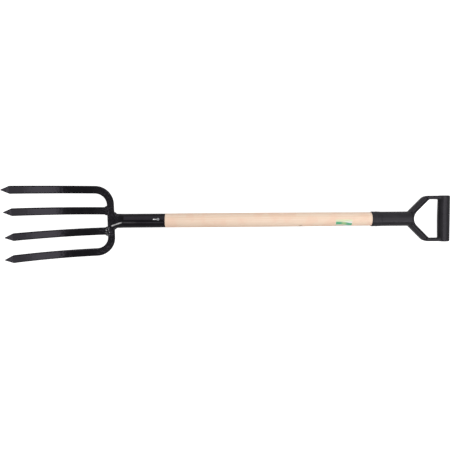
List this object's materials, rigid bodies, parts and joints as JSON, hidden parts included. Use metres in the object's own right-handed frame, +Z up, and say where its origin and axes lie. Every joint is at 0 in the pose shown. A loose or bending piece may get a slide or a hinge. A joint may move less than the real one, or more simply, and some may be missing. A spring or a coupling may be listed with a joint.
{
  "type": "digging fork",
  "caption": "Digging fork with flat pointed tines on a bent steel crossbar, a tubular socket, a wooden shaft and a moulded D-grip.",
  "frame": {"origin": "under the middle of the fork's length, on the surface it lies on", "axes": "+X along the shaft towards the D-grip, +Y across the fork, +Z up, the way the tines curve"},
  "size_m": [1.1334, 0.192, 0.1017],
  "materials": {
    "painted_steel": "satin black enamel",
    "nail_steel": "plain zinc-plated steel",
    "shaft_wood": "sanded, unvarnished",
    "grip_plastic": "moulded, low sheen",
    "screw_steel": "zinc-plated steel",
    "label_film": "printed film, no lettering"
  },
  "bodies": {
    "root": {"tine_bow": "painted_steel", "inner_tine_left": "painted_steel", "inner_tine_right": "painted_steel", "tine_weld_left": "painted_steel", "tine_weld_right": "painted_steel", "socket_tube": "painted_steel", "socket_weld_left": "painted_steel", "socket_weld_right": "painted_steel", "socket_nail": "nail_steel", "handle_shaft": "shaft_wood", "d_grip": "grip_plastic", "grip_screw": "screw_steel", "shaft_label": "label_film"}
  },
  "joints": []
}
